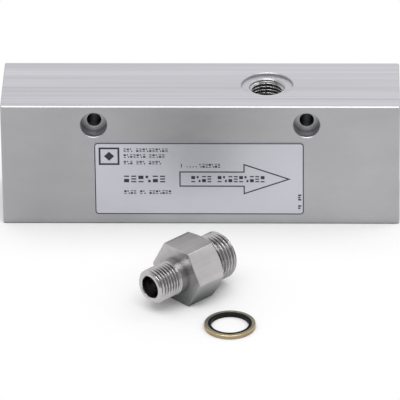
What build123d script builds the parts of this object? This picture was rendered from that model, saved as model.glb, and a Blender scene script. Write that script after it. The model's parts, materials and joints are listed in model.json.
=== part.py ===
from build123d import *

import os
from math import sqrt, tan, radians

# The object is a flow meter block: a bar of stainless steel with a flow channel from end to end,
# a tapped port on top for the sensor, and a rating label on its front.
# The screw-in nipple and the bonded seal that join the sensor to the port lie loose in front of it.
# All sizes are in millimetres. X runs along the flow, the front faces -Y, Z is up,
# and the origin is under the middle of the block.

# Block
BLOCK_LENGTH = 150.0
BLOCK_DEPTH = 36.0
BLOCK_HEIGHT = 50.0
EDGE_BREAK = 0.4
RIM_BREAK = 0.25

# Pipe thread G 1/4, at its major diameter
PIPE_THREAD_DIAMETER = 13.157
PORT_CLEARANCE = 0.05
PORT_MOUTH_CHAMFER = 0.3

# Flow channel and the ports at its two ends
CHANNEL_DIAMETER = 9.2
CHANNEL_HEIGHT = 25.0
END_PORT_DEPTH = 14.0
DRILL_TIP_ANGLE = 118.0

# Sensor port on top, downstream of the middle
SENSOR_PORT_X = 25.0
SENSOR_PORT_DEPTH = 13.0
SPOT_FACE_DIAMETER = 19.5
SPOT_FACE_DEPTH = 0.9

# Mounting holes, front to back, for two M5 socket head screws
MOUNTING_SPACING = 80.0
MOUNTING_DROP = 8.0
MOUNTING_HOLE_DIAMETER = 5.5
COUNTERBORE_DIAMETER = 10.0
COUNTERBORE_DEPTH = 4.8

# Rating label on the front
LABEL_WIDTH = 79.2
LABEL_HEIGHT = 30.8
LABEL_THICKNESS = 0.25
LABEL_CORNER = 1.5
LABEL_SIDE_SHIFT = -0.5
LABEL_BELOW_TOP = 15.2

# Print on the label: X places are from the label's left edge, drops are down from its top edge
PRINT_THICKNESS = 0.06
PRINT_INSET = 0.15
BORDER_LINE = 0.4
ARROW_LINE = 0.45
ARROW_TAIL_X = 32.1
ARROW_TIP_MARGIN = 5.1
ARROW_HEAD_LENGTH = 17.8
ARROW_DROP = 15.5
ARROW_SHAFT_WIDTH = 6.5
ARROW_HEAD_WIDTH = 13.1
SYMBOL_X = 1.8
SYMBOL_DROP = 2.1
SYMBOL_WIDTH = 7.8
SYMBOL_HEIGHT = 7.4
SYMBOL_LINE = 0.7
SYMBOL_DIAMOND = 3.8
# Each row of bars: left end, drop to its upper edge, bar height, gap, and the bars' widths
BAR_ROWS = (
    (10.9, 2.6, 0.9, 1.4, (3.4, 12.0)),
    (10.9, 5.1, 0.9, 1.4, (8.2, 6.0)),
    (10.9, 7.9, 0.9, 1.4, (3.8, 3.7, 4.1)),
    (10.9, 14.1, 2.2, 1.0, (4.6, 4.6, 4.6)),
    (10.9, 20.5, 1.1, 1.5, (4.4, 1.9, 8.2)),
    (32.5, 9.2, 1.1, 1.3, (0.6, 0.4, 0.4, 0.4, 1.7, 3.4)),
    (36.9, 14.5, 1.7, 2.6, (7.1, 16.6)),
)
# Two marks up the right edge: their distance from it, their width, and each one's drop and height
MARK_MARGIN = 1.3
MARK_WIDTH = 1.0
MARKS = (
    (22.0, 2.4),
    (26.4, 1.6),
)

# Nipple, small end G 1/4, large end M18 x 1.5, with a hexagon between
HEX_ACROSS_FLATS = 22.0
HEX_LENGTH = 13.5
HEX_FACE_DIAMETER = 20.8
HEX_CHAMFER_ANGLE = 30.0
SMALL_THREAD_LENGTH = 10.1
SMALL_THREAD_CHAMFER = 0.95
SPIGOT_DIAMETER = 13.4
SPIGOT_LENGTH = 3.4
LARGE_THREAD_DIAMETER = 18.0
LARGE_THREAD_LENGTH = 7.6
LARGE_THREAD_CHAMFER = 1.0
UNDERCUT_DEPTH = 1.0
UNDERCUT_LENGTH = 2.2
NIPPLE_BORE = 8.5
BORE_BREAK = 0.3

# Bonded seal: a steel ring with a rubber lip inside it
SEAL_DIAMETER = 18.9
SEAL_RING_BORE = 16.2
SEAL_BORE = 14.0
SEAL_RING_THICKNESS = 1.5
SEAL_RING_BREAK = 0.15
LIP_PROUD = 0.1
LIP_SLOPE = 0.35

# Where the loose pieces lie, from the middle of the block's front face
NIPPLE_SIDE = -3.05
NIPPLE_AHEAD = 54.35
NIPPLE_TURN = 45.0
SEAL_GAP = 5.6
SEAL_ALONG = -6.1

FRONT_Y = -BLOCK_DEPTH / 2
PORT_RADIUS = PIPE_THREAD_DIAMETER / 2 + PORT_CLEARANCE
CHANNEL_RADIUS = CHANNEL_DIAMETER / 2
HEX_CORNER_RADIUS = HEX_ACROSS_FLATS / sqrt(3)
OVERSHOOT = 1.0


def turned(points):
    """A solid of revolution about Z from points of radius and height."""
    outline = Polyline(*[(radius, 0, height) for radius, height in points], close=True)
    return revolve(make_face(outline), Axis.Z)


def hole(radius, depth, mouth_break):
    """A cutter for a hole that opens upwards at height 0, with its rim broken."""
    mouth = radius + mouth_break
    return turned([
        (0, OVERSHOOT),
        (mouth, OVERSHOOT),
        (mouth, 0),
        (radius, -mouth_break),
        (radius, -depth),
        (0, -depth),
    ])


def end_port():
    """A tapped port that opens upwards at height 0 and narrows to the flow channel."""
    mouth = PORT_RADIUS + PORT_MOUTH_CHAMFER
    tip = (PORT_RADIUS - CHANNEL_RADIUS) / tan(radians(DRILL_TIP_ANGLE / 2))
    return turned([
        (0, OVERSHOOT),
        (mouth, OVERSHOOT),
        (mouth, 0),
        (PORT_RADIUS, -PORT_MOUTH_CHAMFER),
        (PORT_RADIUS, -END_PORT_DEPTH),
        (CHANNEL_RADIUS, -END_PORT_DEPTH - tip),
        (0, -END_PORT_DEPTH - tip),
    ])


def sensor_port():
    """The sensor port's cutter from the top face down to the middle of the flow channel."""
    mouth = PORT_RADIUS + PORT_MOUTH_CHAMFER
    tip = (PORT_RADIUS - CHANNEL_RADIUS) / tan(radians(DRILL_TIP_ANGLE / 2))
    thread_end = SPOT_FACE_DEPTH + SENSOR_PORT_DEPTH
    spot_face = hole(SPOT_FACE_DIAMETER / 2, SPOT_FACE_DEPTH, RIM_BREAK)
    bore = turned([
        (0, 0),
        (mouth, 0),
        (mouth, -SPOT_FACE_DEPTH),
        (PORT_RADIUS, -SPOT_FACE_DEPTH - PORT_MOUTH_CHAMFER),
        (PORT_RADIUS, -thread_end),
        (CHANNEL_RADIUS, -thread_end - tip),
        (CHANNEL_RADIUS, CHANNEL_HEIGHT - BLOCK_HEIGHT),
        (0, CHANNEL_HEIGHT - BLOCK_HEIGHT),
    ])
    return Pos(SENSOR_PORT_X, 0, BLOCK_HEIGHT) * (spot_face + bore)


def mounting_hole(x):
    """A counterbored screw hole from the front face through to the back."""
    through = Cylinder(MOUNTING_HOLE_DIAMETER / 2, BLOCK_DEPTH + 2 * OVERSHOOT)
    screw_hole = Pos(0, 0, -BLOCK_DEPTH / 2) * through
    counterbore = hole(COUNTERBORE_DIAMETER / 2, COUNTERBORE_DEPTH, RIM_BREAK)
    place = Pos(x, FRONT_Y, BLOCK_HEIGHT - MOUNTING_DROP)
    return place * Rot(90, 0, 0) * (screw_hole + counterbore)


def meter_block():
    """The machined block with its channel, its three ports and its two screw holes."""
    block = Pos(0, 0, BLOCK_HEIGHT / 2) * Box(BLOCK_LENGTH, BLOCK_DEPTH, BLOCK_HEIGHT)
    block = chamfer(block.edges(), EDGE_BREAK)
    channel = Rot(0, 90, 0) * Cylinder(CHANNEL_RADIUS, BLOCK_LENGTH)
    block -= Pos(0, 0, CHANNEL_HEIGHT) * channel
    for side in (-1, 1):
        block -= Pos(side * BLOCK_LENGTH / 2, 0, CHANNEL_HEIGHT) * Rot(0, side * 90, 0) * end_port()
        block -= mounting_hole(side * MOUNTING_SPACING / 2)
    return block - sensor_port()


def on_front(sketch, height, thickness):
    """Raises a sketch that is drawn on the label as seen from the front into a flat solid."""
    left = LABEL_SIDE_SHIFT - LABEL_WIDTH / 2
    bottom = BLOCK_HEIGHT - LABEL_BELOW_TOP - LABEL_HEIGHT
    place = Pos(left, FRONT_Y - height, bottom) * Rot(90, 0, 0)
    return place * extrude(sketch, thickness)


def label_outline(inset):
    """The label's rounded rectangle, drawn in by the inset."""
    outline = RectangleRounded(LABEL_WIDTH - 2 * inset, LABEL_HEIGHT - 2 * inset, LABEL_CORNER - inset)
    return Pos(LABEL_WIDTH / 2, LABEL_HEIGHT / 2) * outline


def flow_arrow():
    """The outline of an arrow along the flow."""
    shaft = ARROW_SHAFT_WIDTH / 2
    head = ARROW_HEAD_WIDTH / 2
    tip = LABEL_WIDTH - ARROW_TIP_MARGIN
    neck = tip - ARROW_HEAD_LENGTH
    corners = [
        (ARROW_TAIL_X, -shaft),
        (neck, -shaft),
        (neck, -head),
        (tip, 0),
        (neck, head),
        (neck, shaft),
        (ARROW_TAIL_X, shaft),
    ]
    outside = make_face(Polyline(*corners, close=True))
    outline = outside - offset(outside, -ARROW_LINE, kind=Kind.INTERSECTION)
    return Pos(0, LABEL_HEIGHT - ARROW_DROP) * outline


def symbol():
    """The plain sign in the label's upper left corner: a frame round a diamond."""
    middle = Pos(SYMBOL_X + SYMBOL_WIDTH / 2, LABEL_HEIGHT - SYMBOL_DROP - SYMBOL_HEIGHT / 2)
    frame = Rectangle(SYMBOL_WIDTH, SYMBOL_HEIGHT)
    frame -= Rectangle(SYMBOL_WIDTH - 2 * SYMBOL_LINE, SYMBOL_HEIGHT - 2 * SYMBOL_LINE)
    diamond = Rot(0, 0, 45) * Rectangle(SYMBOL_DIAMOND / sqrt(2), SYMBOL_DIAMOND / sqrt(2))
    return [middle * frame, middle * diamond]


def bars():
    """Rows of plain bars that stand for the label's lines of writing."""
    shapes = []
    for left, drop, height, gap, widths in BAR_ROWS:
        for width in widths:
            middle = Pos(left + width / 2, LABEL_HEIGHT - drop - height / 2)
            shapes.append(middle * Rectangle(width, height))
            left += width + gap
    return shapes


def marks():
    """The two small marks at the label's right edge."""
    x = LABEL_WIDTH - MARK_MARGIN - MARK_WIDTH / 2
    places = [(Pos(x, LABEL_HEIGHT - drop - height / 2), height) for drop, height in MARKS]
    return [place * Rectangle(MARK_WIDTH, height) for place, height in places]


def rating_label():
    """The thin label plate on the front face."""
    return on_front(label_outline(0), 0, LABEL_THICKNESS)


def label_print():
    """The raised print on the label: border, arrow, symbol, bars and marks."""
    border = label_outline(PRINT_INSET) - label_outline(PRINT_INSET + BORDER_LINE)
    shapes = [border, flow_arrow()] + symbol() + bars() + marks()
    return Compound([on_front(shape, LABEL_THICKNESS, PRINT_THICKNESS).solid() for shape in shapes])


def nipple_place():
    """The nipple's place on the floor: its axis level, one flat down, the small end first along X."""
    middle = Pos(NIPPLE_SIDE, FRONT_Y - NIPPLE_AHEAD, 0)
    return middle * Rot(0, 0, NIPPLE_TURN)


def hexagon():
    """The hexagon from height 0 up, with its corners turned off at the upper end."""
    drop = (HEX_CORNER_RADIUS - HEX_FACE_DIAMETER / 2) * tan(radians(HEX_CHAMFER_ANGLE))
    prism = extrude(RegularPolygon(HEX_ACROSS_FLATS / 2, 6, major_radius=False, rotation=90), HEX_LENGTH)
    blank = turned([
        (0, 0),
        (HEX_CORNER_RADIUS, 0),
        (HEX_CORNER_RADIUS, HEX_LENGTH - drop),
        (HEX_FACE_DIAMETER / 2, HEX_LENGTH),
        (0, HEX_LENGTH),
    ])
    return prism & blank


def nipple():
    """The double nipple, turned from one bar."""
    small = PIPE_THREAD_DIAMETER / 2
    small_end = -SPIGOT_LENGTH - SMALL_THREAD_LENGTH
    large = LARGE_THREAD_DIAMETER / 2
    undercut_end = HEX_LENGTH + UNDERCUT_LENGTH
    large_end = undercut_end + LARGE_THREAD_LENGTH
    turned_ends = turned([
        (0, small_end),
        (small - SMALL_THREAD_CHAMFER, small_end),
        (small, small_end + SMALL_THREAD_CHAMFER),
        (small, -SPIGOT_LENGTH),
        (SPIGOT_DIAMETER / 2, -SPIGOT_LENGTH),
        (SPIGOT_DIAMETER / 2, 0),
        (SPIGOT_DIAMETER / 2, HEX_LENGTH),
        (large - UNDERCUT_DEPTH, HEX_LENGTH),
        (large - UNDERCUT_DEPTH, undercut_end),
        (large, undercut_end),
        (large, large_end - LARGE_THREAD_CHAMFER),
        (large - LARGE_THREAD_CHAMFER, large_end),
        (0, large_end),
    ])
    bore = NIPPLE_BORE / 2
    through = turned([
        (0, small_end),
        (bore + BORE_BREAK, small_end),
        (bore, small_end + BORE_BREAK),
        (bore, large_end - BORE_BREAK),
        (bore + BORE_BREAK, large_end),
        (0, large_end),
    ])
    body = turned_ends + hexagon() - through
    lying = Pos(0, 0, HEX_ACROSS_FLATS / 2) * Rot(0, 90, 0) * Pos(0, 0, -HEX_LENGTH / 2)
    return nipple_place() * lying * body


def seal_place():
    """The seal's place on the floor, beside the nipple."""
    side = HEX_CORNER_RADIUS + SEAL_GAP + SEAL_DIAMETER / 2
    return nipple_place() * Pos(SEAL_ALONG, -side, 0)


def seal_ring():
    """The seal's steel ring, held off the floor by the lip."""
    low = LIP_PROUD
    high = LIP_PROUD + SEAL_RING_THICKNESS
    inner = SEAL_RING_BORE / 2
    outer = SEAL_DIAMETER / 2
    return seal_place() * turned([
        (inner, low),
        (outer - SEAL_RING_BREAK, low),
        (outer, low + SEAL_RING_BREAK),
        (outer, high - SEAL_RING_BREAK),
        (outer - SEAL_RING_BREAK, high),
        (inner, high),
    ])


def seal_lip():
    """The seal's rubber lip, bonded inside the ring and proud of it on both faces."""
    inner = SEAL_BORE / 2
    outer = SEAL_RING_BORE / 2
    thickness = SEAL_RING_THICKNESS + 2 * LIP_PROUD
    return seal_place() * turned([
        (outer, LIP_PROUD),
        (outer - LIP_SLOPE, 0),
        (inner + LIP_SLOPE / 2, 0),
        (inner, LIP_SLOPE / 2),
        (inner, thickness - LIP_SLOPE / 2),
        (inner + LIP_SLOPE / 2, thickness),
        (outer - LIP_SLOPE, thickness),
        (outer, LIP_PROUD + SEAL_RING_THICKNESS),
    ])


PARTS = {
    "meter_block": meter_block,
    "rating_label": rating_label,
    "label_print": label_print,
    "connection_nipple": nipple,
    "seal_ring": seal_ring,
    "seal_lip": seal_lip,
}


def main():
    os.makedirs("parts", exist_ok=True)
    for name, build in PARTS.items():
        export_step(build(), os.path.join("parts", name + ".step"))


main()
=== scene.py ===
import json
from math import cos, pi, radians, sin, sqrt, tan

import bmesh
import bpy
from mathutils import Matrix, Vector


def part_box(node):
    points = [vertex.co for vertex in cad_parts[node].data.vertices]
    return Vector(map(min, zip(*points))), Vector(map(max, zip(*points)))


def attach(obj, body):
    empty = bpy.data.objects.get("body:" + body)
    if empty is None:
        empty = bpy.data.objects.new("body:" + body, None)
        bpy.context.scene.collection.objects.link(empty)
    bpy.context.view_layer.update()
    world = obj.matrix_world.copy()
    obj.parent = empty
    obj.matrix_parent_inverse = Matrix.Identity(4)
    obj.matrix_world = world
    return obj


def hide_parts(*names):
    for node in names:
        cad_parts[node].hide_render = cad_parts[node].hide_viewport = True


bl_info = {
    "name": "Flow meter block",
    "version": (1, 0, 0),
    "blender": (4, 5, 0),
    "location": "3D View > Sidebar > Flow meter",
    "description": "Finishes a steel flow meter block with its label, threads, nipple and bonded seal",
    "category": "Object",
}

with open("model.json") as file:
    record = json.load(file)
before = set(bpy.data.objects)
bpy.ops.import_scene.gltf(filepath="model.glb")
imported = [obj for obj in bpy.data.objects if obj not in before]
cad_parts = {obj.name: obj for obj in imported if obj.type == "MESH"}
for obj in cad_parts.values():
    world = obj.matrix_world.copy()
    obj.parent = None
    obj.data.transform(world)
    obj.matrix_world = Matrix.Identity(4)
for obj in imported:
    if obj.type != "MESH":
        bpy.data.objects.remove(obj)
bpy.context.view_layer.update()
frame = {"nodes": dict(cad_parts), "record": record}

BODY = "root"
MM = 0.001
LABEL_LOW, LABEL_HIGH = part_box("rating_label")
NIPPLE_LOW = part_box("connection_nipple")[0]

# Threads: pipe thread G 1/4 with 19 turns to the inch, and M18 x 1.5
PIPE_PITCH = 25.4 / 19 * MM
PIPE_MAJOR = 13.157 * MM / 2
PIPE_MINOR = 11.445 * MM / 2
METRIC_PITCH = 1.5 * MM
METRIC_MAJOR = 18.0 * MM / 2
METRIC_MINOR = 16.16 * MM / 2

# A thread: rings of points to each turn, and the share of the pitch that crest and root each take up
THREAD_STEPS = 14
THREAD_FLAT = 0.12
LEAD_IN_TURNS = 0.8
RUN_OUT_TURNS = 0.5
ROUND_POINTS = 96

# A port's thread is a sleeve: how far it stands off the wall, and how thin it is in a thread's root
PORT_SLEEVE = 0.01 * MM
PORT_ROOT = 0.02 * MM

# Meshes: points closer than this are one, and edges that turn more than this stay sharp
WELD_DISTANCE = 1e-7
PORT_SHARP_ANGLE = radians(50)
NIPPLE_SHARP_ANGLE = radians(32)

# The nipple's turned details that aren't settings
SMALL_CHAMFER = 0.95 * MM
LARGE_CHAMFER = 1.0 * MM
LARGE_INNER_CHAMFER = 0.6 * MM
UNDERCUT_DEPTH = 1.0 * MM
SPIGOT_RADIUS = 6.7 * MM
HEX_FACE_RADIUS = 10.4 * MM
HEX_FACE_LAND = 0.4 * MM
HEX_CORNER_BREAK = 0.1 * MM
HEX_EDGE_BREAK = 0.2 * MM
HEX_CHAMFER_STEPS = 8
HEX_CHAMFER_ANGLE = radians(30)
HEX_CORNER_DEGREES = 1.2
HEX_SECTOR = radians(60)
BORE_BREAK = 0.3 * MM

# The second finish covers what lies within the hexagon's length, plus this, and beyond this radius
HEX_FINISH_MARGIN = 0.01 * MM
HEX_FINISH_RADIUS = 7.5 * MM

# A noise pattern seldom leaves this range
NOISE_LOW = 0.3
NOISE_HIGH = 0.7

# Tool marks, in cells to the metre along the nipple's axis, across it and upward
RINGS_ROUND_AXIS = (2600, 60, 60)
GRAIN_ALONG_AXIS = (40, 700, 700)

# Painted shade: the steel's colour is darkened where something stands near it, in recesses and close above
# the floor, as if shade fell there.
# FULL_PAINTED_SHADE_OPENNESS is how open it still is where it is darkest, and SHADE_COOLNESS how much of
# the darkening its green and blue take on.
PAINTED_SHADE_SAMPLES = 8
FULL_PAINTED_SHADE_OPENNESS = 0.15
RECESS_SHADE_REACH = 6 * MM
TURNED_SHADE_REACH = 3 * MM
TURNED_SHADE_DARKNESS = 0.5
SHADE_COOLNESS = 0.96

# The label's print, in millimetres from its upper left corner
PRINT_THICKNESS = 0.06
LABEL_CORNER = 1.5
BORDER_INSET = 0.15
ARROW_TAIL = 32.1
ARROW_TIP = 74.1
ARROW_DROP = 15.5
ARROW_HEAD_LENGTH = 17.8
ARROW_HALF_SHAFT = 3.25
ARROW_HALF_HEAD = 6.55
SIGN_LEFT = 1.8
SIGN_DROP = 2.1
SIGN_WIDTH = 7.8
SIGN_HEIGHT = 7.4
SIGN_LINE = 0.7
SIGN_DIAMOND = 3.8

# Rows of the print: left end, drop, sign height, sign width, pitch, line, and the signs in each group.
# The gap between two groups is a share of the pitch.
GROUP_GAP = 0.9
PRINT_ROWS = (
    (11.2, 2.5, 1.4, 0.85, 1.22, 0.24, (3, 10)),
    (11.2, 5.0, 1.4, 0.85, 1.22, 0.24, (7, 5)),
    (11.2, 7.8, 1.4, 0.85, 1.22, 0.24, (3, 3, 4)),
    (11.2, 14.1, 2.8, 1.9, 2.72, 0.48, (6,)),
    (11.2, 20.4, 1.5, 0.88, 1.22, 0.26, (4, 2, 7)),
    (39.7, 9.0, 1.6, 0.85, 1.16, 0.27, (7,)),
    (36.6, 14.2, 2.6, 1.45, 2.03, 0.45, (4, 9)),
)

# Lamps, each with its place, its aim and its width and height, in metres
KEY_LAMP = ((0.0, -0.60, 1.10), (0.0, -0.03, 0.0), (1.4, 0.6))
SIDE_LAMP = ((0.77, 0.28, 0.99), (0.0, -0.05, 0.02), (0.4, 0.4))
FLOOR_HALF = 8.0
FLOOR_SAMPLES = 12

# The point that the camera aims at, right of and above the origin as the camera sees it
AIM_RIGHT = -0.8 * MM
AIM_UP = 0.29 * MM


# Small helpers for meshes


def add_piece(name, mesh, material, replaced=None):
    """Links a mesh as a piece of the object that rides on its body."""
    mesh.validate()
    mesh.materials.append(material)
    piece = bpy.data.objects.new(name, mesh)
    bpy.context.scene.collection.objects.link(piece)
    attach(piece, BODY)
    if replaced:
        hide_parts(replaced)
    return piece


def finish_node(node, material):
    """Gives a carried-over node its finish."""
    mesh = frame["nodes"][node].data
    mesh.materials.clear()
    mesh.materials.append(material)


def smooth_below(mesh, angle):
    """Shades the mesh smooth except at edges that turn more than the angle."""
    mesh.shade_smooth()
    mesh.set_sharp_from_angle(angle=angle)


def ring_mesh(name, rings):
    """A mesh from rings of points that all have as many points, with the last ring joined to the first."""
    mesh = bpy.data.meshes.new(name)
    count = len(rings[0])
    points = [point for ring in rings for point in ring]
    faces = []
    for band in range(len(rings)):
        here = band * count
        there = (band + 1) % len(rings) * count
        for step in range(count):
            after = (step + 1) % count
            faces.append((here + step, here + after, there + after, there + step))
    mesh.from_pydata(points, [], faces)
    work = bmesh.new()
    work.from_mesh(mesh)
    bmesh.ops.remove_doubles(work, verts=work.verts, dist=WELD_DISTANCE)
    bmesh.ops.recalc_face_normals(work, faces=work.faces)
    work.to_mesh(mesh)
    work.free()
    return mesh


def held(value):
    """The value held between 0 and 1."""
    return min(max(value, 0.0), 1.0)


def thread_height(along, angle, pitch):
    """How far out a thread stands there, from 0 at its root to 1 at its crest.

    It is a right-hand thread if the angle grows right-handed about the direction of along, and otherwise a
    left-hand one.
    """
    turn = (along / pitch - angle / (2 * pi)) % 1.0
    flank = abs(2 * turn - 1)
    return held((flank - THREAD_FLAT) / (1 - 2 * THREAD_FLAT))


# Small helpers for materials


def new_material(name):
    """An empty node material with its shader, and the node tree."""
    material = bpy.data.materials.new(name)
    material.use_nodes = True
    tree = material.node_tree
    tree.nodes.clear()
    output = tree.nodes.new("ShaderNodeOutputMaterial")
    shader = tree.nodes.new("ShaderNodeBsdfPrincipled")
    tree.links.new(shader.outputs["BSDF"], output.inputs["Surface"])
    return material, tree, shader


def coordinates(tree, scale, turn=0.0):
    """Object coordinates turned about Z, then scaled along each axis."""
    source = tree.nodes.new("ShaderNodeTexCoord")
    turned = tree.nodes.new("ShaderNodeMapping")
    turned.inputs["Rotation"].default_value = (0, 0, turn)
    scaled = tree.nodes.new("ShaderNodeMapping")
    scaled.inputs["Scale"].default_value = scale
    tree.links.new(source.outputs["Object"], turned.inputs["Vector"])
    tree.links.new(turned.outputs["Vector"], scaled.inputs["Vector"])
    return scaled.outputs["Vector"]


def noise(tree, scale, detail=2.0, turn=0.0, roughness=0.5):
    """Noise with so many cells to the metre along each axis."""
    texture = tree.nodes.new("ShaderNodeTexNoise")
    texture.inputs["Scale"].default_value = 1.0
    texture.inputs["Detail"].default_value = detail
    texture.inputs["Roughness"].default_value = roughness
    tree.links.new(coordinates(tree, scale, turn), texture.inputs["Vector"])
    return texture.outputs["Fac"]


def spread(tree, value, low, high, low_out=0.0, high_out=1.0):
    """Maps a value from one range to another, held at the ends."""
    node = tree.nodes.new("ShaderNodeMapRange")
    node.inputs["From Min"].default_value = low
    node.inputs["From Max"].default_value = high
    node.inputs["To Min"].default_value = low_out
    node.inputs["To Max"].default_value = high_out
    tree.links.new(value, node.inputs["Value"])
    return node.outputs["Result"]


def feed(tree, socket, value):
    """Links a socket's value to an input, or writes a number or a colour into it."""
    if isinstance(value, bpy.types.NodeSocket):
        tree.links.new(value, socket)
    else:
        socket.default_value = value


def blend(tree, kind, factor, first, second, mode="MIX"):
    """Mixes two values or colours of the same kind, each a socket or written, by a factor."""
    node = tree.nodes.new("ShaderNodeMix")
    node.data_type = "RGBA" if kind == "RGBA" else "FLOAT"
    node.blend_type = mode
    tree.links.new(factor, node.inputs["Factor"])
    targets = [socket for socket in node.inputs if socket.type == kind and socket.name in ("A", "B")]
    feed(tree, targets[0], first)
    feed(tree, targets[1], second)
    return [socket for socket in node.outputs if socket.type == kind][0]


def blend_colours(tree, factor, first, second, mode="MIX"):
    """Mixes two colours, each a socket or a written colour, by a factor."""
    return blend(tree, "RGBA", factor, first, second, mode)


def blend_values(tree, factor, first, second):
    """Mixes two values, each a socket or a number, by a factor."""
    return blend(tree, "VALUE", factor, first, second)


def arithmetic(tree, operation, first, second=0.0):
    """One sum on two values, each a socket or a number."""
    node = tree.nodes.new("ShaderNodeMath")
    node.operation = operation
    feed(tree, node.inputs[0], first)
    feed(tree, node.inputs[1], second)
    return node.outputs["Value"]


def between(tree, pattern, low, high):
    """A value that goes from low to high with a noise pattern."""
    return spread(tree, pattern, NOISE_LOW, NOISE_HIGH, low, high)


def weighted(tree, first, share, second, second_share):
    """The sum of two values, each times its share."""
    first_part = arithmetic(tree, "MULTIPLY", first, share)
    second_part = arithmetic(tree, "MULTIPLY", second, second_share)
    return arithmetic(tree, "ADD", first_part, second_part)


def uneven(tree, pattern, colour, dark, light, low=0.35, high=0.65):
    """The colour, made darker and lighter by two factors as a pattern goes from low to high."""
    factor = spread(tree, pattern, low, high)
    return blend_colours(tree, factor, shade_of(colour, dark), shade_of(colour, light))


def upward(tree):
    """The Z part of the surface's direction."""
    geometry = tree.nodes.new("ShaderNodeNewGeometry")
    split = tree.nodes.new("ShaderNodeSeparateXYZ")
    tree.links.new(geometry.outputs["Normal"], split.inputs["Vector"])
    return split.outputs["Z"]


def painted_shade_mask(tree, reach, open_from=0.85):
    """A mask for painted shade, from 0 on open faces to 1 deep in a recess or close above what the piece
    lies on.
    """
    openness = tree.nodes.new("ShaderNodeAmbientOcclusion")
    openness.samples = PAINTED_SHADE_SAMPLES
    openness.inputs["Distance"].default_value = reach
    return spread(tree, openness.outputs["AO"], FULL_PAINTED_SHADE_OPENNESS, open_from, 1.0, 0.0)


def with_painted_shade(tree, colour, shade_mask, share):
    """The colour with painted shade: darker by the share where the surface is sheltered, and a touch
    cooler.
    """
    other = 1 - share * SHADE_COOLNESS
    return blend_colours(tree, shade_mask, colour, (1 - share, other, other, 1.0), "MULTIPLY")


def shade_of(colour, factor):
    """The colour made darker or lighter by a factor."""
    red, green, blue = (min(channel * factor, 1.0) for channel in colour[:3])
    return red, green, blue, 1.0


def dress(tree, shader, colour, roughness, relief, depth, metallic=0.0):
    """Sets a shader's colour, roughness, metal share, and relief with its depth in metres."""
    tree.links.new(colour, shader.inputs["Base Color"])
    tree.links.new(roughness, shader.inputs["Roughness"])
    shader.inputs["Metallic"].default_value = metallic
    bump = tree.nodes.new("ShaderNodeBump")
    bump.inputs["Strength"].default_value = 1.0
    bump.inputs["Distance"].default_value = depth
    tree.links.new(relief, bump.inputs["Height"])
    tree.links.new(bump.outputs["Normal"], shader.inputs["Normal"])


# Finishes


def milled_steel(settings):
    """The block's steel: face-milled streaks along the top, a cloudy ground finish on its sides, the top's
    colour painted lighter and the sides' darker as light and shade, and painted shade in its recesses.
    """
    material, tree, shader = new_material("milled_steel")
    on_top = spread(tree, upward(tree), 0.6, 0.95)

    streaks = noise(tree, (6, 900, 40), detail=3)
    wide_streaks = noise(tree, (3, 160, 20), detail=1)
    streaked = weighted(tree, streaks, 0.6, wide_streaks, 0.5)
    top = uneven(tree, streaked, settings.top_colour_and_light, 0.88, 1.1, 0.42, 0.68)
    rough = settings.top_roughness
    rough_top = between(tree, streaks, rough - 0.03, rough + 0.03)

    clouds = noise(tree, (45, 45, 90), detail=4, roughness=0.6)
    patches = noise(tree, (22, 30, 14), detail=1)
    grain = noise(tree, (260, 260, 900), detail=2)
    side = uneven(tree, weighted(tree, clouds, 0.5, patches, 0.5), settings.side_colour_and_shade, 0.9, 1.09)
    rough = settings.side_roughness
    rough_side = between(tree, clouds, rough - 0.04, rough + 0.04)

    # Painted light and shade: the top is set much lighter than the sides, partly for its milled finish and
    # partly as the light that falls on it, with the front in shade
    colour = blend_colours(tree, on_top, side, top)
    # Painted shade: the colour darkens in holes, threads and recesses
    colour = with_painted_shade(tree, colour, painted_shade_mask(tree, RECESS_SHADE_REACH, 0.6), settings.recess_painted_shade)
    roughness = blend_values(tree, on_top, rough_side, rough_top)
    relief = blend_values(tree, on_top, grain, streaks)
    dress(tree, shader, colour, roughness, relief, 0.004 * MM, metallic=1.0)
    return material


def threaded_steel(name, settings):
    """Cut steel of a thread inside a port, with painted shade in its roots and deep down."""
    material, tree, shader = new_material(name)
    swarf = noise(tree, (500, 500, 500), detail=2)
    colour = uneven(tree, swarf, settings.thread_colour, 0.9, 1.08, NOISE_LOW, NOISE_HIGH)
    # Painted shade: darker in the thread's roots and deep in the port
    colour = with_painted_shade(tree, colour, painted_shade_mask(tree, RECESS_SHADE_REACH), settings.recess_painted_shade)
    roughness = between(tree, swarf, 0.22, 0.3)
    dress(tree, shader, colour, roughness, swarf, 0.003 * MM, metallic=1.0)
    return material


def nipple_steel(name, settings, cells, rough, reach, painted_darkness):
    """The nipple's steel, with tool marks along or round its axis, and painted shade where something
    stands near it.
    """
    material, tree, shader = new_material(name)
    marks = noise(tree, cells, detail=2, turn=-radians(settings.turn))
    mottled = noise(tree, (180, 180, 180), detail=3)
    colour = uneven(tree, weighted(tree, marks, 0.45, mottled, 0.55), settings.colour, 0.9, 1.08)
    # Painted shade: darker where something stands near, such as the floor under the lower flats
    colour = with_painted_shade(tree, colour, painted_shade_mask(tree, reach), painted_darkness)
    roughness = between(tree, mottled, rough - 0.03, rough + 0.03)
    dress(tree, shader, colour, roughness, marks, 0.003 * MM, metallic=1.0)
    return material


def label_foil(settings):
    """The label's silver foil, satin and faintly wavy."""
    material, tree, shader = new_material("label_foil")
    fine = noise(tree, (900, 900, 900), detail=1)
    waves = noise(tree, (25, 25, 40), detail=2)
    colour = uneven(tree, waves, settings.foil_colour, 0.97, 1.03)
    roughness = between(tree, fine, 0.3, 0.36)
    dress(tree, shader, colour, roughness, fine, 0.002 * MM, metallic=0.6)
    return material


def printed_ink(settings):
    """The label's dark print, a little uneven like any fine screen print."""
    material, tree, shader = new_material("printed_ink")
    fine = noise(tree, (1400, 1400, 1400), detail=2)
    colour = uneven(tree, fine, settings.ink_colour, 0.8, 1.3, NOISE_LOW, NOISE_HIGH)
    roughness = between(tree, fine, 0.45, 0.6)
    dress(tree, shader, colour, roughness, fine, 0.004 * MM)
    return material


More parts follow.
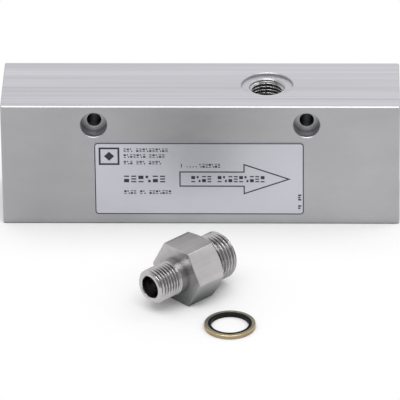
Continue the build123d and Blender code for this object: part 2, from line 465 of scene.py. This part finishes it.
def passivated_steel(settings):
    """The seal ring's steel: olive on its flat faces, gold round its wall, with a painted highlight at its
    edges.
    """
    material, tree, shader = new_material("passivated_steel")
    shift = noise(tree, (150, 150, 500), detail=3)
    stamped = noise(tree, (1500, 1500, 300), detail=2)
    flatness = arithmetic(tree, "ABSOLUTE", upward(tree))
    wall = uneven(tree, shift, settings.gold_colour, 0.75, 1.1)
    face = uneven(tree, shift, settings.olive_colour, 0.85, 1.15)
    colour = blend_colours(tree, spread(tree, flatness, 0.8, 0.95), wall, face)
    # Painted highlight: much lighter gold where the faces turn from wall to flat
    off_the_wall = spread(tree, flatness, 0.3, 0.6)
    off_the_face = spread(tree, flatness, 0.8, 0.95, 1.0, 0.0)
    edge_highlight = arithmetic(tree, "MULTIPLY", off_the_wall, off_the_face)
    colour = blend_colours(tree, edge_highlight, colour, shade_of(settings.gold_colour, 1.7))
    roughness = between(tree, stamped, 0.3, 0.42)
    dress(tree, shader, colour, roughness, stamped, 0.006 * MM, metallic=1.0)
    return material


def seal_rubber(settings):
    """The seal lip's black rubber with a faint moulded grain."""
    material, tree, shader = new_material("seal_rubber")
    grain = noise(tree, (1800, 1800, 1800), detail=3)
    colour = uneven(tree, grain, settings.rubber_colour, 0.8, 1.4, NOISE_LOW, NOISE_HIGH)
    roughness = between(tree, grain, 0.5, 0.62)
    shader.inputs["Specular IOR Level"].default_value = 0.18
    dress(tree, shader, colour, roughness, grain, 0.01 * MM)
    return material


def studio_floor(settings):
    """The pale floor: matt with a faint tooth, and plain white where nothing stands close by."""
    material, tree, shader = new_material("studio_floor")
    tooth = noise(tree, (60, 60, 60), detail=3)
    colour = uneven(tree, tooth, settings.floor_colour, 0.995, 1.0, NOISE_LOW, NOISE_HIGH)
    tree.links.new(colour, shader.inputs["Base Color"])
    shader.inputs["Roughness"].default_value = 0.9
    shader.inputs["Specular IOR Level"].default_value = 0.1
    open_floor = tree.nodes.new("ShaderNodeAmbientOcclusion")
    open_floor.samples = FLOOR_SAMPLES
    open_floor.inputs["Distance"].default_value = settings.contact_reach
    clear = spread(tree, open_floor.outputs["AO"], 0.4, 1.0, 0.0, settings.floor_whiteness)
    # Only what the camera sees, straight, mirrored or through glass, turns white: as light on the object,
    # the floor stays as it is
    rays = tree.nodes.new("ShaderNodeLightPath")
    seen = arithmetic(tree, "MAXIMUM", rays.outputs["Is Camera Ray"], rays.outputs["Is Glossy Ray"])
    seen = arithmetic(tree, "MAXIMUM", seen, rays.outputs["Is Transmission Ray"])
    white = tree.nodes.new("ShaderNodeEmission")
    mixed = tree.nodes.new("ShaderNodeMixShader")
    tree.links.new(arithmetic(tree, "MULTIPLY", clear, seen), mixed.inputs["Fac"])
    tree.links.new(shader.outputs["BSDF"], mixed.inputs[1])
    tree.links.new(white.outputs["Emission"], mixed.inputs[2])
    output = tree.get_output_node("ALL")
    tree.links.new(mixed.outputs["Shader"], output.inputs["Surface"])
    return material


# Shapes


def port_thread(name, mouth, outward, length, root_radius, pitch, crest_radius):
    """The helical ridge inside a port, as a thin sleeve that lines the port's wall.

    The ridge grows out of the root at the mouth and fades at the bottom, each over a lead-in.
    """
    outward = Vector(outward)
    across = Vector((0, 1, 0))
    third = outward.cross(across)
    steps = int(length / pitch * THREAD_STEPS)
    lead_in = pitch * LEAD_IN_TURNS
    wall = root_radius - PORT_SLEEVE

    def ring(depth, radius_at):
        """A ring of points round the port at a depth."""
        points = []
        for step in range(ROUND_POINTS):
            angle = 2 * pi * step / ROUND_POINTS
            radius = radius_at(depth, angle)
            side = across * cos(angle) + third * sin(angle)
            points.append(Vector(mouth) - outward * depth + side * radius)
        return points

    def ridge(depth, angle):
        """The sleeve's inner radius at a depth and an angle."""
        grow = held(depth / lead_in) * held((length - depth) / lead_in)
        height = thread_height(-depth, angle, pitch) * grow
        return wall - PORT_ROOT - height * (wall - crest_radius)

    rings = [ring(length * index / steps, ridge) for index in range(steps + 1)]
    rings += [ring(length, lambda depth, angle: wall), ring(0, lambda depth, angle: wall)]
    mesh = ring_mesh(name, rings)
    smooth_below(mesh, PORT_SHARP_ANGLE)
    return mesh


def rounded_outline(low, high, radius, steps=8):
    """The points of a rounded rectangle, counter-clockwise, as pairs."""
    corners = (
        (high[0] - radius, low[1] + radius, -90),
        (high[0] - radius, high[1] - radius, 0),
        (low[0] + radius, high[1] - radius, 90),
        (low[0] + radius, low[1] + radius, 180),
    )
    points = []
    for x, y, start in corners:
        for step in range(steps + 1):
            angle = radians(start + 90 * step / steps)
            points.append((x + radius * cos(angle), y + radius * sin(angle)))
    return points


class FlatPrint:
    """Collects flat raised shapes on the label: places are in millimetres from its upper left corner."""

    def __init__(self, thickness):
        self.work = bmesh.new()
        self.back = LABEL_LOW[1]
        self.front = LABEL_LOW[1] - thickness

    def point(self, x, drop, y):
        """A corner of a shape, at a place on the label and a depth in the model."""
        return self.work.verts.new((LABEL_LOW[0] + x * MM, y, LABEL_HIGH[2] - drop * MM))

    def fill(self, outline):
        """A solid patch inside an outline."""
        front = [self.point(x, drop, self.front) for x, drop in outline]
        back = [self.point(x, drop, self.back) for x, drop in outline]
        self.work.faces.new(front)
        self.work.faces.new(back[::-1])
        self.walls(front, back)

    def line(self, outside, inside):
        """A closed line between two outlines that have as many points."""
        rows = []
        for outline in (outside, inside):
            rows.append([self.point(x, drop, self.front) for x, drop in outline])
            rows.append([self.point(x, drop, self.back) for x, drop in outline])
        self.walls(rows[0], rows[1])
        self.walls(rows[3], rows[2])
        self.walls(rows[2], rows[0])
        self.walls(rows[1], rows[3])

    def walls(self, first, second):
        """Faces between two loops of corners."""
        count = len(first)
        for step in range(count):
            after = (step + 1) % count
            self.work.faces.new((first[step], first[after], second[after], second[step]))

    def bar(self, x, drop, width, height):
        """A plain bar."""
        self.fill([(x, drop), (x + width, drop), (x + width, drop + height), (x, drop + height)])

    def mesh(self, name):
        """The finished mesh of all shapes."""
        bmesh.ops.recalc_face_normals(self.work, faces=self.work.faces)
        mesh = bpy.data.meshes.new(name)
        self.work.to_mesh(mesh)
        self.work.free()
        return mesh


def stand_in_sign(flat, kind, x, drop, width, height, line):
    """One made-up sign that belongs to no alphabet, of six kinds: small blocks, bars and frames."""
    low = drop + height
    far = x + width
    half = height / 2
    step = height * 0.36
    middle = drop + half - line / 2
    upper = (x, drop, width, line)
    lower = (x, low - line, width, line)
    box = (upper, lower, (x, drop, line, height), (far - line, drop, line, height))
    stack = (upper, (x, middle, width, line), lower)
    capped = (upper, (x, low - half, width, half))
    footed = ((x, drop, width, half), lower)
    dots = [(left, top, line, line) for left in (x, far - line) for top in (drop, low - line)]
    steps = ((x, drop, width / 2, step), (x + width / 2, low - step, width / 2, step))
    kinds = (stack, capped, box, steps, footed, dots)
    for bar in kinds[kind % len(kinds)]:
        flat.bar(*bar)


class MeterSettings(bpy.types.PropertyGroup):
    """Finish of the block."""

    # The top and side colours are partly the steel's finish and partly painted light and shade: the top
    # lighter as lit, the sides darker as in shade
    top_colour_and_light: bpy.props.FloatVectorProperty(
        name="Top",
        description="Colour of the milled top face",
        subtype="COLOR", size=3, min=0, max=1, default=(0.67, 0.66, 0.705),
    )
    side_colour_and_shade: bpy.props.FloatVectorProperty(
        name="Sides",
        description="Colour of the ground front, back and ends",
        subtype="COLOR", size=3, min=0, max=1, default=(0.44, 0.44, 0.45),
    )
    thread_colour: bpy.props.FloatVectorProperty(
        name="Threads",
        description="Colour of the cut threads",
        subtype="COLOR", size=3, min=0, max=1, default=(0.56, 0.55, 0.55),
    )
    top_roughness: bpy.props.FloatProperty(
        name="Top roughness",
        description="Roughness of the milled top face",
        default=0.38, min=0.1, max=1, subtype="FACTOR",
    )
    side_roughness: bpy.props.FloatProperty(
        name="Side roughness",
        description="Roughness of the ground faces",
        default=0.42, min=0.1, max=1, subtype="FACTOR",
    )
    # Painted shade: how far the steel's colour is darkened in holes and threads
    recess_painted_shade: bpy.props.FloatProperty(
        name="Recess darkness",
        description="How dark the steel gets deep in holes and threads",
        default=0.8, min=0, max=1, subtype="FACTOR",
    )


class LabelSettings(bpy.types.PropertyGroup):
    """Colours and sizes of the rating label."""

    foil_colour: bpy.props.FloatVectorProperty(
        name="Foil",
        description="Colour of the silver foil",
        subtype="COLOR", size=3, min=0, max=1, default=(0.59, 0.59, 0.645),
    )
    ink_colour: bpy.props.FloatVectorProperty(
        name="Ink",
        description="Colour of the print",
        subtype="COLOR", size=3, min=0, max=1, default=(0.02, 0.02, 0.035),
    )
    border_line: bpy.props.FloatProperty(
        name="Border",
        description="Width of the border line",
        default=0.0004, unit="LENGTH", precision=5,
    )
    arrow_line: bpy.props.FloatProperty(
        name="Arrow line",
        description="Width of the arrow's line",
        default=0.00045, unit="LENGTH", precision=5,
    )


class NippleSettings(bpy.types.PropertyGroup):
    """Sizes and finish of the double nipple."""

    across_flats: bpy.props.FloatProperty(
        name="Across flats",
        description="Width of the hexagon",
        default=0.022, unit="LENGTH", precision=4,
    )
    hex_length: bpy.props.FloatProperty(
        name="Hexagon length",
        description="Length of the hexagon",
        default=0.0135, unit="LENGTH", precision=4,
    )
    small_length: bpy.props.FloatProperty(
        name="Small thread",
        description="Length of the small thread",
        default=0.0101, unit="LENGTH", precision=4,
    )
    spigot_length: bpy.props.FloatProperty(
        name="Spigot length",
        description="Length of the smooth spigot behind the small thread",
        default=0.0034, unit="LENGTH", precision=4,
    )
    large_length: bpy.props.FloatProperty(
        name="Large thread",
        description="Length of the large thread",
        default=0.0076, unit="LENGTH", precision=4,
    )
    undercut_length: bpy.props.FloatProperty(
        name="Undercut",
        description="Length of the undercut behind the large thread",
        default=0.0022, unit="LENGTH", precision=4,
    )
    bore: bpy.props.FloatProperty(
        name="Bore",
        description="Diameter of the through bore",
        default=0.0085, unit="LENGTH", precision=4,
    )
    turn: bpy.props.FloatProperty(
        name="Turn",
        description="Direction of the nipple's axis on the floor, in degrees",
        default=45.0,
    )
    colour: bpy.props.FloatVectorProperty(
        name="Steel",
        description="Colour of the turned steel",
        subtype="COLOR", size=3, min=0, max=1, default=(0.54, 0.525, 0.53),
    )
    # Painted shade: how near something has to be to darken the steel's colour, and how much it darkens
    painted_shade_reach: bpy.props.FloatProperty(
        name="Shelter reach",
        description="How near a surface has to be to darken the steel",
        default=16 * MM, unit="LENGTH",
    )
    painted_shade_darkness: bpy.props.FloatProperty(
        name="Shelter darkness",
        description="How much the steel darkens there",
        default=0.85, min=0, max=1, subtype="FACTOR",
    )
    turned_roughness: bpy.props.FloatProperty(
        name="Turned roughness",
        description="Roughness of the threads and the spigot",
        default=0.2, min=0.05, max=1, subtype="FACTOR",
    )
    hex_roughness: bpy.props.FloatProperty(
        name="Hexagon roughness",
        description="Roughness of the hexagon",
        default=0.36, min=0.05, max=1, subtype="FACTOR",
    )


class SealSettings(bpy.types.PropertyGroup):
    """Colours of the bonded seal."""

    olive_colour: bpy.props.FloatVectorProperty(
        name="Olive",
        description="Colour of the passivated ring's flat faces",
        subtype="COLOR", size=3, min=0, max=1, default=(0.44, 0.43, 0.34),
    )
    gold_colour: bpy.props.FloatVectorProperty(
        name="Gold",
        description="Colour of the passivated ring's wall",
        subtype="COLOR", size=3, min=0, max=1, default=(0.40, 0.31, 0.17),
    )
    rubber_colour: bpy.props.FloatVectorProperty(
        name="Rubber",
        description="Colour of the lip",
        subtype="COLOR", size=3, min=0, max=1, default=(0.006, 0.008, 0.008),
    )


class StudioSettings(bpy.types.PropertyGroup):
    """Camera, lamps and floor."""

    azimuth: bpy.props.FloatProperty(
        name="Azimuth",
        description="Camera's direction, 0 straight in front, in degrees",
        default=1.535,
    )
    elevation: bpy.props.FloatProperty(
        name="Elevation",
        description="Camera's height above the horizon, in degrees",
        default=28.633,
    )
    roll: bpy.props.FloatProperty(
        name="Roll",
        description="Camera's turn about its line of sight, in degrees",
        default=-0.6225,
    )
    distance: bpy.props.FloatProperty(
        name="Distance",
        description="Camera's distance from the point it aims at",
        default=2.1, unit="LENGTH",
    )
    focal_length: bpy.props.FloatProperty(
        name="Focal length",
        description="Lens, in millimetres on a 36 mm sensor",
        default=494.9,
    )
    key_power: bpy.props.FloatProperty(
        name="Key lamp",
        description="Power of the large lamp above the front",
        default=9.0,
    )
    side_power: bpy.props.FloatProperty(
        name="Side lamp",
        description="Power of the small lamp to the right",
        default=1.4,
    )
    world_strength: bpy.props.FloatProperty(
        name="Surroundings",
        description="Strength of the pale surroundings",
        default=1.0,
    )
    floor_whiteness: bpy.props.FloatProperty(
        name="Floor whiteness",
        description="How far open floor turns plain white",
        default=1.0, min=0, max=1, subtype="FACTOR",
    )
    contact_reach: bpy.props.FloatProperty(
        name="Contact reach",
        description="How far round the object its contact shadow reaches",
        default=0.03, unit="LENGTH",
    )
    floor_colour: bpy.props.FloatVectorProperty(
        name="Floor",
        description="Colour of the floor",
        subtype="COLOR", size=3, min=0, max=1, default=(0.93, 0.93, 0.93),
    )


class MachineBlock(bpy.types.Operator):
    """Gives the meter block its milled and ground steel"""

    bl_idname = "flow_meter.machine_block"
    bl_label = "Machine block"

    def execute(self, context):
        settings = context.scene.flow_meter_block
        finish_node("meter_block", milled_steel(settings))
        return {"FINISHED"}


class CutPortThreads(bpy.types.Operator):
    """Cuts the helical threads inside the sensor port and the two end ports"""

    bl_idname = "flow_meter.cut_port_threads"
    bl_label = "Cut port threads"

    def execute(self, context):
        steel = threaded_steel("port_thread_steel", context.scene.flow_meter_block)
        mounts = {mount["name"]: mount for mount in frame["record"]["mounts"]}
        for name in ("sensor_port", "inlet_port", "outlet_port"):
            mount = mounts[name]
            length = mount["dims"]["length_mm"] * MM
            radius = mount["dims"]["r_mm"] * MM
            outward = Vector(mount["axis"])
            mouth = Vector(mount["pos_m"]) + outward * length / 2
            mesh = port_thread(name + "_thread", mouth, outward, length, radius, PIPE_PITCH, PIPE_MINOR)
            add_piece(name + "_thread", mesh, steel)
        return {"FINISHED"}


class PrintLabel(bpy.types.Operator):
    """Prints the label: border, flow arrow, plain sign and rows of stand-in marks"""

    bl_idname = "flow_meter.print_label"
    bl_label = "Print label"

    def execute(self, context):
        settings = context.scene.flow_meter_label
        finish_node("rating_label", label_foil(settings))
        flat = FlatPrint(PRINT_THICKNESS * MM)
        self.border(flat, settings.border_line / MM)
        self.arrow(flat, settings.arrow_line / MM)
        self.sign(flat)
        self.rows(flat)
        self.small_marks(flat)
        mesh = flat.mesh("label_printing")
        add_piece("label_printing", mesh, printed_ink(settings), "label_print")
        return {"FINISHED"}

    def border(self, flat, line):
        """The line round the label's edge."""
        width = (LABEL_HIGH[0] - LABEL_LOW[0]) / MM
        height = (LABEL_HIGH[2] - LABEL_LOW[2]) / MM
        near = BORDER_INSET
        far = BORDER_INSET + line
        outside = rounded_outline((near, near), (width - near, height - near), LABEL_CORNER - near)
        inside = rounded_outline((far, far), (width - far, height - far), LABEL_CORNER - far)
        flat.line(outside, inside)

    def arrow(self, flat, line):
        """The hollow arrow along the flow."""
        neck = ARROW_TIP - ARROW_HEAD_LENGTH
        shaft, head = ARROW_HALF_SHAFT, ARROW_HALF_HEAD
        # The inner outline keeps the line as wide along the slanted edges as along the straight ones
        slope = sqrt(head ** 2 + ARROW_HEAD_LENGTH ** 2)
        inner_tip = ARROW_TIP - line * slope / head
        inner_tail = ARROW_TAIL + line
        inner_neck = neck + line
        inner_shaft = shaft - line
        inner_head = (inner_tip - inner_neck) * head / ARROW_HEAD_LENGTH
        outside = (
            (ARROW_TAIL, -shaft), (neck, -shaft), (neck, -head),
            (ARROW_TIP, 0),
            (neck, head), (neck, shaft), (ARROW_TAIL, shaft),
        )
        inside = (
            (inner_tail, -inner_shaft), (inner_neck, -inner_shaft), (inner_neck, -inner_head),
            (inner_tip, 0),
            (inner_neck, inner_head), (inner_neck, inner_shaft), (inner_tail, inner_shaft),
        )
        flat.line(
            [(x, ARROW_DROP + offset) for x, offset in outside],
            [(x, ARROW_DROP + offset) for x, offset in inside],
        )

    def sign(self, flat):
        """A plain frame round a diamond."""
        left, top, line = SIGN_LEFT, SIGN_DROP, SIGN_LINE
        right, low = left + SIGN_WIDTH, top + SIGN_HEIGHT
        outside = ((left, top), (right, top), (right, low), (left, low))
        left_in, top_in, right_in, low_in = left + line, top + line, right - line, low - line
        inside = ((left_in, top_in), (right_in, top_in), (right_in, low_in), (left_in, low_in))
        flat.line(outside, inside)
        x, drop = (left + right) / 2, (top + low) / 2
        half = SIGN_DIAMOND / 2
        flat.fill([(x, drop - half), (x + half, drop), (x, drop + half), (x - half, drop)])

    def rows(self, flat):
        """Rows of made-up signs."""
        # An uneven step through the kinds keeps the signs from repeating in order
        kind = 0
        for left, drop, height, width, pitch, line, groups in PRINT_ROWS:
            x = left
            for group in groups:
                for _ in range(group):
                    stand_in_sign(flat, kind, x, drop, width, height, line)
                    kind += 5 if kind % 3 else 4
                    x += pitch
                x += pitch * GROUP_GAP

    def small_marks(self, flat):
        """A line of dots and a stroke above the arrow, and two short stacks at the right edge."""
        dots_x, dots_drop, dot, dot_pitch = 34.9, 10.1, 0.35, 1.15
        for index in range(4):
            flat.bar(dots_x + index * dot_pitch, dots_drop, dot, dot)
        stroke_x, stroke_drop, stroke_width, stroke_height = 32.8, 9.0, 0.3, 1.5
        flat.bar(stroke_x, stroke_drop, stroke_width, stroke_height)
        stack_x, widths, bar_height, bar_pitch = 76.9, (1.2, 0.85), 0.6, 0.95
        for drop, count in ((22.1, 3), (26.7, 2)):
            for step in range(count):
                flat.bar(stack_x, drop + step * bar_pitch, widths[step % 2], bar_height)


class TurnNipple(bpy.types.Operator):
    """Turns the double nipple with its hexagon, undercut, spigot and two helical threads"""

    bl_idname = "flow_meter.turn_nipple"
    bl_label = "Turn nipple"

    def execute(self, context):
        settings = context.scene.flow_meter_nipple
        turn = radians(settings.turn)
        axis = Vector((cos(turn), sin(turn), 0))
        middle = self.hexagon_middle(settings, axis)
        mesh = self.body(settings, axis, middle)
        # Both finishes darken the steel's colour as painted shade where something stands near it
        rough, reach, painted_darkness = settings.turned_roughness, TURNED_SHADE_REACH, TURNED_SHADE_DARKNESS
        turned = nipple_steel("turned_steel", settings, RINGS_ROUND_AXIS, rough, reach, painted_darkness)
        add_piece("double_nipple", mesh, turned, "connection_nipple")
        rough, reach, painted_darkness = settings.hex_roughness, settings.painted_shade_reach, settings.painted_shade_darkness
        drawn = nipple_steel("hexagon_steel", settings, GRAIN_ALONG_AXIS, rough, reach, painted_darkness)
        mesh.materials.append(drawn)
        self.finish_hexagon(mesh, settings, axis, middle)
        return {"FINISHED"}

    def finish_hexagon(self, mesh, settings, axis, middle):
        """Gives the hexagon's flats and end faces the second finish."""
        half = settings.hex_length / 2 + HEX_FINISH_MARGIN
        for face in mesh.polygons:
            place = face.center - middle
            along = place.dot(axis)
            radius = (place - axis * along).length
            if abs(along) < half and radius > HEX_FINISH_RADIUS:
                face.material_index = 1

    def angles(self):
        """Directions round the axis, with one on each side of a corner so that it is slightly broken."""
        step = 360 / ROUND_POINTS
        found = [step * index for index in range(ROUND_POINTS) if (step * index) % 60 != 0]
        for corner in range(0, 360, 60):
            found += [corner - HEX_CORNER_DEGREES, corner, corner + HEX_CORNER_DEGREES]
        return [radians(angle) for angle in sorted(angle % 360 for angle in found)]

    def stations(self, settings):
        """Places along the axis, each with its radius as a function of place and angle."""
        flats = settings.across_flats / 2
        corner = flats / cos(HEX_SECTOR / 2)
        hex_start = -settings.hex_length / 2
        hex_end = settings.hex_length / 2
        thread_end = hex_start - settings.spigot_length
        small_end = thread_end - settings.small_length
        undercut_end = hex_end + settings.undercut_length
        large_end = undercut_end + settings.large_length
        bore = settings.bore / 2
        found = []

        def hexagon(angle, inset=0.0):
            """The hexagon's radius in a direction, with its corners broken."""
            from_corner = (angle + HEX_SECTOR / 2) % HEX_SECTOR - HEX_SECTOR / 2
            radius = flats / cos(HEX_SECTOR / 2 - abs(from_corner))
            return min(radius, corner - HEX_CORNER_BREAK) - inset

        def chamfered(along, angle):
            """The hexagon's radius under the cone that chamfers its end."""
            cone = HEX_FACE_RADIUS + (hex_end - along) / tan(HEX_CHAMFER_ANGLE)
            return min(hexagon(angle), cone)

        def small_thread(along, angle):
            """The pipe thread's radius: chamfered at the free end, running out at the spigot."""
            limit = PIPE_MAJOR - max(SMALL_CHAMFER - (along - small_end), 0)
            run_out = held((thread_end - along) / (RUN_OUT_TURNS * PIPE_PITCH))
            depth = (PIPE_MAJOR - PIPE_MINOR) * run_out
            height = thread_height(along, angle, PIPE_PITCH)
            return min(limit, PIPE_MAJOR - depth * (1 - height))

        def large_thread(along, angle):
            """The metric thread's radius, chamfered at both ends."""
            outer = METRIC_MAJOR - max(LARGE_CHAMFER - (large_end - along), 0)
            inner = METRIC_MAJOR - max(LARGE_INNER_CHAMFER - (along - undercut_end), 0)
            depth = METRIC_MAJOR - METRIC_MINOR
            height = thread_height(along, angle, METRIC_PITCH)
            return min(outer, inner, METRIC_MAJOR - depth * (1 - height))

        def plain(along, radius):
            """One round station."""
            found.append((along, lambda a, angle: radius))

        def threaded(start, end, pitch, radius_at):
            """The stations along a thread."""
            steps = int((end - start) / pitch * THREAD_STEPS)
            for index in range(steps + 1):
                found.append((start + (end - start) * index / steps, radius_at))

        plain(small_end, bore + BORE_BREAK)
        threaded(small_end, thread_end, PIPE_PITCH, small_thread)
        plain(thread_end, SPIGOT_RADIUS - HEX_EDGE_BREAK)
        plain(thread_end + HEX_EDGE_BREAK, SPIGOT_RADIUS)
        plain(hex_start, SPIGOT_RADIUS)
        plain(hex_start, HEX_FACE_RADIUS - HEX_FACE_LAND)
        found.append((hex_start, lambda a, angle: hexagon(angle, HEX_EDGE_BREAK)))
        found.append((hex_start + HEX_EDGE_BREAK, lambda a, angle: hexagon(angle)))
        chamfer_length = (corner - HEX_FACE_RADIUS) * tan(HEX_CHAMFER_ANGLE)
        for index in range(HEX_CHAMFER_STEPS + 1):
            found.append((hex_end - chamfer_length * (1 - index / HEX_CHAMFER_STEPS), chamfered))
        plain(hex_end, METRIC_MAJOR - UNDERCUT_DEPTH)
        plain(undercut_end, METRIC_MAJOR - UNDERCUT_DEPTH)
        threaded(undercut_end, large_end, METRIC_PITCH, large_thread)
        plain(large_end, bore + BORE_BREAK)
        plain(large_end - BORE_BREAK, bore)
        plain(small_end + BORE_BREAK, bore)
        return found

    def body(self, settings, axis, middle):
        """Rings of points along the outside from the small end on, and back through the bore."""
        # From side to up the angle grows left-handed about the axis, so both threads here turn left-hand.
        # On the real nipple they are right-hand. With the opposite side, they would be.
        side = Vector((axis.y, -axis.x, 0))
        up = Vector((0, 0, 1))
        angles = self.angles()
        rings = []
        for along, radius_at in self.stations(settings):
            ring = []
            for angle in angles:
                outward = side * cos(angle) + up * sin(angle)
                ring.append(middle + axis * along + outward * radius_at(along, angle))
            rings.append(ring)
        mesh = ring_mesh("double_nipple", rings)
        smooth_below(mesh, NIPPLE_SHARP_ANGLE)
        return mesh

    def hexagon_middle(self, settings, axis):
        """The middle of the hexagon, from the low corner of the box of the node that it replaces.

        The small end's chamfer or the hexagon's corner reaches out furthest towards that corner.
        """
        small = settings.hex_length / 2 + settings.spigot_length + settings.small_length
        corner = settings.across_flats / sqrt(3)
        reach_small = small * axis.x + (PIPE_MAJOR - SMALL_CHAMFER) * axis.y
        reach_chamfer = (small - SMALL_CHAMFER) * axis.x + PIPE_MAJOR * axis.y
        reach_hex = settings.hex_length / 2 * axis.x + corner * axis.y
        reach = max(reach_small, reach_chamfer, reach_hex)
        return Vector((NIPPLE_LOW[0] + reach, NIPPLE_LOW[1] + reach, settings.across_flats / 2))


class FinishSeal(bpy.types.Operator):
    """Gives the bonded seal its passivated ring and its rubber lip"""

    bl_idname = "flow_meter.finish_seal"
    bl_label = "Finish seal"

    def execute(self, context):
        settings = context.scene.flow_meter_seal
        finish_node("seal_ring", passivated_steel(settings))
        finish_node("seal_lip", seal_rubber(settings))
        return {"FINISHED"}


class SetStudio(bpy.types.Operator):
    """Sets the floor, the lamps, the surroundings and the camera"""

    bl_idname = "flow_meter.set_studio"
    bl_label = "Set studio"

    def execute(self, context):
        settings = context.scene.flow_meter_studio
        context.scene.view_settings.view_transform = "Standard"
        self.floor(settings)
        self.surroundings(context.scene, settings)
        self.lamp("key_lamp", KEY_LAMP, settings.key_power)
        self.lamp("side_lamp", SIDE_LAMP, settings.side_power)
        self.camera(context.scene, settings)
        return {"FINISHED"}

    def floor(self, settings):
        """A wide, flat, pale floor."""
        half = FLOOR_HALF
        corners = ((-half, -half, 0), (half, -half, 0), (half, half, 0), (-half, half, 0))
        mesh = bpy.data.meshes.new("studio_floor")
        mesh.from_pydata(corners, [], [(0, 1, 2, 3)])
        mesh.materials.append(studio_floor(settings))
        floor = bpy.data.objects.new("studio_floor", mesh)
        bpy.context.scene.collection.objects.link(floor)

    def surroundings(self, scene, settings):
        """A pale studio: bright low down and behind the object, dimmer overhead and in front."""
        world = bpy.data.worlds.new("studio")
        world.use_nodes = True
        tree = world.node_tree
        tree.nodes.clear()
        output = tree.nodes.new("ShaderNodeOutputWorld")
        background = tree.nodes.new("ShaderNodeBackground")
        source = tree.nodes.new("ShaderNodeTexCoord")
        split = tree.nodes.new("ShaderNodeSeparateXYZ")
        tree.links.new(source.outputs["Generated"], split.inputs["Vector"])
        # Full light up to 30 degrees above the horizon, and 0.3 of it overhead
        low = spread(tree, split.outputs["Z"], 0.5, 0.85, 1.0, 0.3)
        # 0.35 of the light in front, and all of it from the sides on
        behind = spread(tree, split.outputs["Y"], -0.75, -0.1, 0.35, 1.0)
        level = arithmetic(tree, "MULTIPLY", low, behind)
        colour = blend_colours(tree, level, (0.0, 0.0, 0.0, 1.0), (1.0, 1.0, 1.0, 1.0))
        tree.links.new(colour, background.inputs["Color"])
        background.inputs["Strength"].default_value = settings.world_strength
        tree.links.new(background.outputs["Background"], output.inputs["Surface"])
        scene.world = world

    def lamp(self, name, setting, power):
        """A rectangular lamp at its place, turned to its aim."""
        place, aim, size = setting
        data = bpy.data.lights.new(name, "AREA")
        data.shape = "RECTANGLE"
        data.size, data.size_y = size
        data.energy = power
        lamp = bpy.data.objects.new(name, data)
        lamp.location = place
        lamp.rotation_euler = (Vector(aim) - Vector(place)).to_track_quat("-Z", "Y").to_euler()
        bpy.context.scene.collection.objects.link(lamp)

    def camera(self, scene, settings):
        """The camera at the photograph's angle: its back, right and up directions give its turn."""
        azimuth = radians(settings.azimuth)
        elevation = radians(settings.elevation)
        back = Vector((sin(azimuth) * cos(elevation), -cos(azimuth) * cos(elevation), sin(elevation)))
        right = Vector((cos(azimuth), sin(azimuth), 0.0))
        turn = Matrix.Rotation(radians(settings.roll), 3, back)
        right = turn @ right
        up = back.cross(right)
        aim = right * AIM_RIGHT + up * AIM_UP
        data = bpy.data.cameras.new("camera")
        data.lens = settings.focal_length
        data.sensor_width = 36.0
        data.clip_end = 100.0
        camera = bpy.data.objects.new("camera", data)
        facing = Matrix((right, up, back)).transposed().to_4x4()
        camera.matrix_world = Matrix.Translation(aim + back * settings.distance) @ facing
        scene.collection.objects.link(camera)
        scene.camera = camera


class FlowMeterPanel(bpy.types.Panel):
    """Lists the steps and settings of the flow meter"""

    bl_idname = "VIEW3D_PT_flow_meter"
    bl_label = "Flow meter"
    bl_space_type = "VIEW_3D"
    bl_region_type = "UI"
    bl_category = "Flow meter"

    def draw(self, context):
        scene = context.scene
        for step, settings in STEPS:
            box = self.layout.box()
            box.operator(step.bl_idname)
            if settings:
                group = getattr(scene, settings)
                for name in group.bl_rna.properties.keys():
                    if name not in ("rna_type", "name"):
                        box.prop(group, name)


GROUPS = {
    "flow_meter_block": MeterSettings,
    "flow_meter_label": LabelSettings,
    "flow_meter_nipple": NippleSettings,
    "flow_meter_seal": SealSettings,
    "flow_meter_studio": StudioSettings,
}
STEPS = (
    (MachineBlock, "flow_meter_block"),
    (CutPortThreads, None),
    (PrintLabel, "flow_meter_label"),
    (TurnNipple, "flow_meter_nipple"),
    (FinishSeal, "flow_meter_seal"),
    (SetStudio, "flow_meter_studio"),
)
CLASSES = tuple(GROUPS.values()) + tuple(step for step, _ in STEPS) + (FlowMeterPanel,)


def register():
    """Adds the settings, the steps and the panel."""
    for each in CLASSES:
        bpy.utils.register_class(each)
    for name, group in GROUPS.items():
        setattr(bpy.types.Scene, name, bpy.props.PointerProperty(type=group))


def unregister():
    """Takes the settings, the steps and the panel out again."""
    for name in GROUPS:
        delattr(bpy.types.Scene, name)
    for each in reversed(CLASSES):
        bpy.utils.unregister_class(each)


def main():
    """Runs every step in order."""
    register()
    for step, _ in STEPS:
        namespace, action = step.bl_idname.split(".")
        getattr(getattr(bpy.ops, namespace), action)()


if __name__ == "__main__":
    main()
